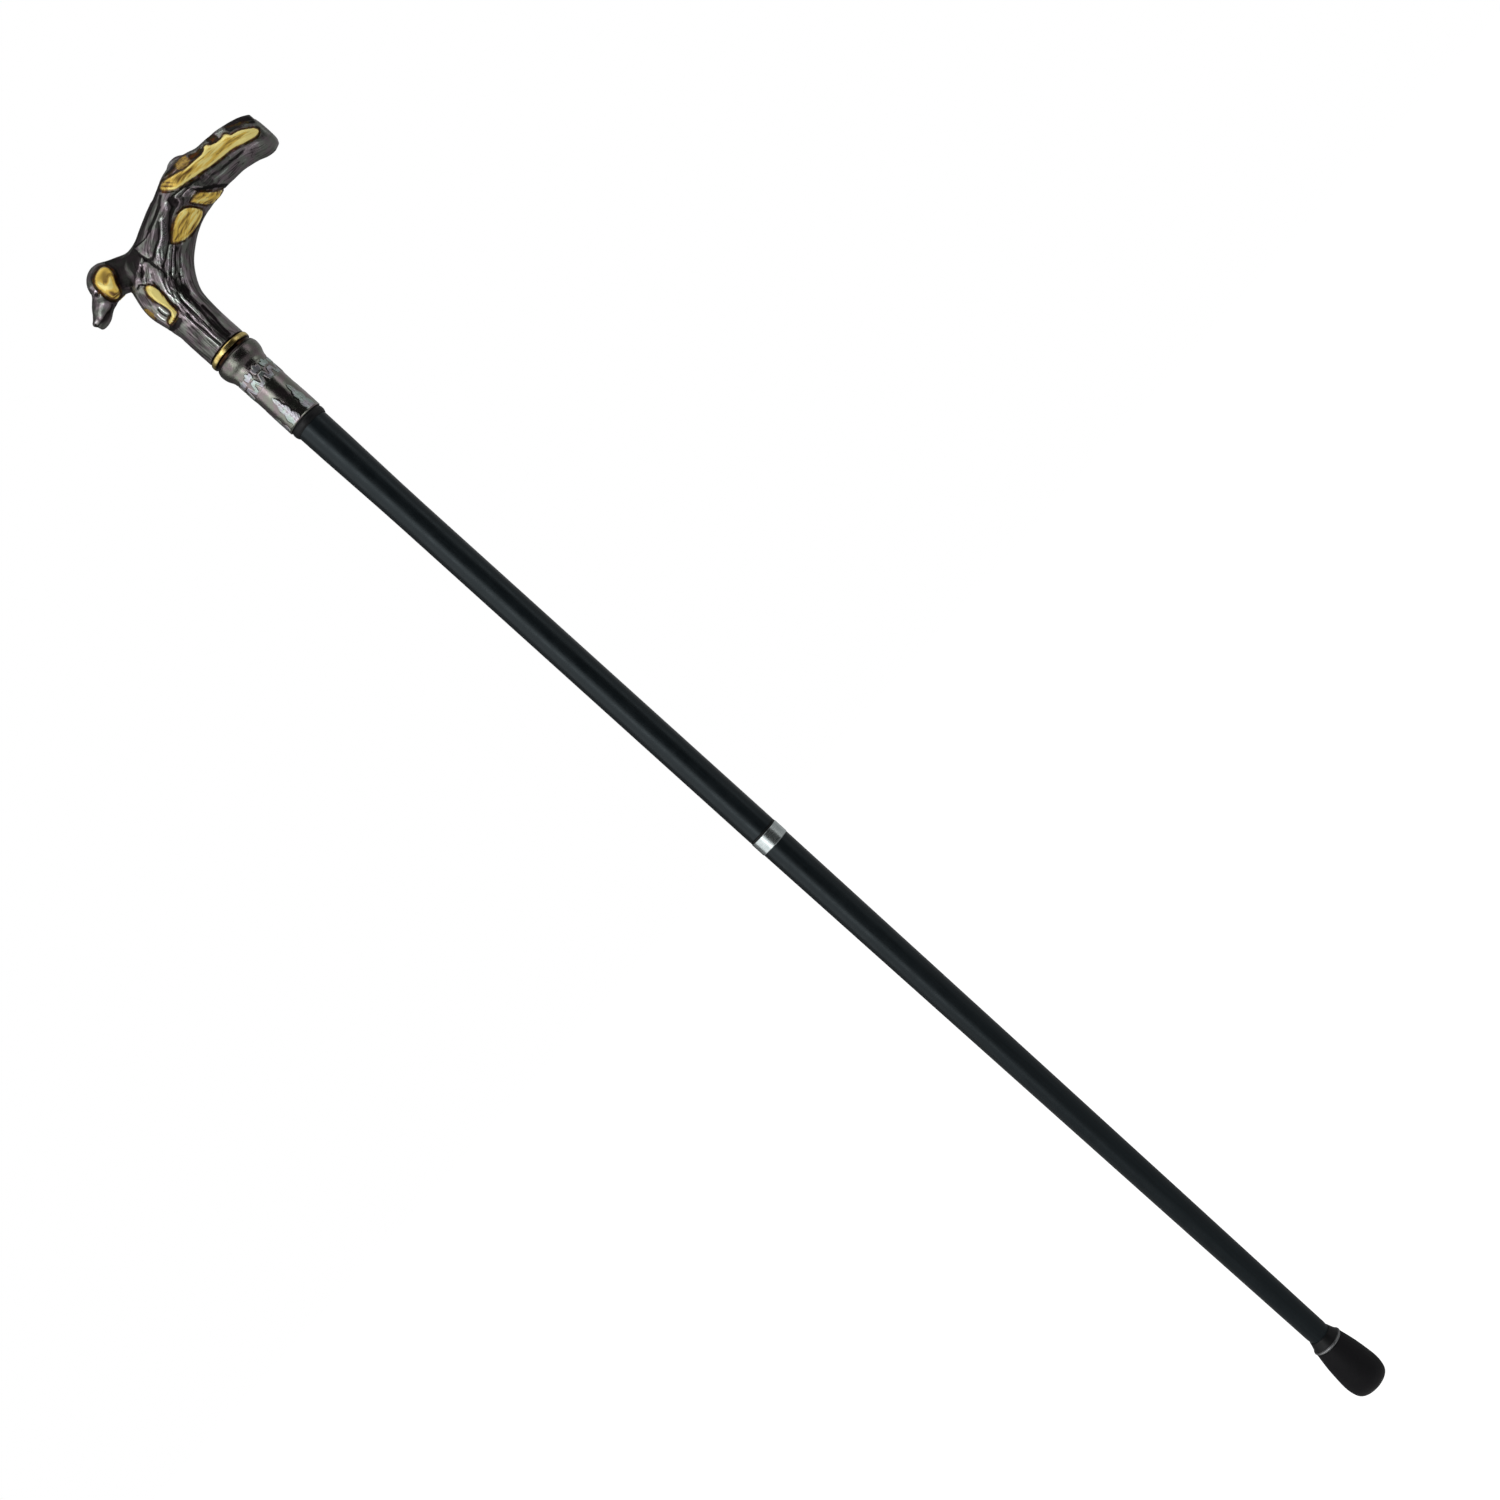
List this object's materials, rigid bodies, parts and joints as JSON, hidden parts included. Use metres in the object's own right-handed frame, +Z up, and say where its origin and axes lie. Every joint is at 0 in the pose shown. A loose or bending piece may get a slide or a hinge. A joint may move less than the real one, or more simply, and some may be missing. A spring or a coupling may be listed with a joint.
{
  "type": "walking cane, two-section with cast handle",
  "caption": "Black lacquered two-section walking cane with a cast hound's-head handle touched with gold, a silvered collar, a screw joint with a bright band and a black rubber tip.",
  "frame": {"origin": "centre of the flat face of the rubber tip, where the cane stands on the floor", "axes": "+Z up the shaft, +X towards the tail end of the grip, -X towards the hound's muzzle, +Y across the handle away from the pictured side"},
  "size_m": [0.1372, 0.027, 0.9144],
  "materials": {
    "antique_nickel": "polished black-nickel plating over a zinc casting",
    "gold": "polished gold plating",
    "black_lacquer": "satin black lacquer on hardwood",
    "black_fitting": "semi-matte black",
    "bright_steel": "bright plated",
    "steel": "zinc plated",
    "brass": "turned, unpolished",
    "rubber": "moulded, matte"
  },
  "bodies": {
    "upper_cane": {"handle_casting": "antique_nickel", "gold_ring": "gold", "collar_sleeve": "antique_nickel", "collar_base_ring": "black_fitting", "handle_stud": "steel", "top_insert": "brass", "upper_shaft": "black_lacquer", "joint_socket": "brass"},
    "joint_washer_body": {"joint_washer": "black_fitting"},
    "lower_cane": {"joint_band": "bright_steel", "joint_stud": "steel", "lower_shaft": "black_lacquer", "tip_bushing": "black_fitting", "ferrule_ring": "steel"},
    "tip": {"ferrule": "rubber", "ferrule_washer": "steel"}
  },
  "joints": [
    {"name": "lower_advance", "type": "slide", "parent": "upper_cane", "child": "joint_washer_body", "axis": [0, 0, -1], "range_m": [0, 0.021]},
    {"name": "lower_unscrew", "type": "hinge", "parent": "joint_washer_body", "child": "lower_cane", "pos_m": [0, 0, 0.4502], "axis": [0, 0, -1], "range_deg": [0, 5040.1]},
    {"name": "tip_pull", "type": "slide", "parent": "lower_cane", "child": "tip", "axis": [0, 0, -1], "range_m": [0, 0.03]}
  ],
  "couplings": [
    {"joint": "lower_unscrew", "follows": "lower_advance", "rad_per_m": 4188.8}
  ]
}
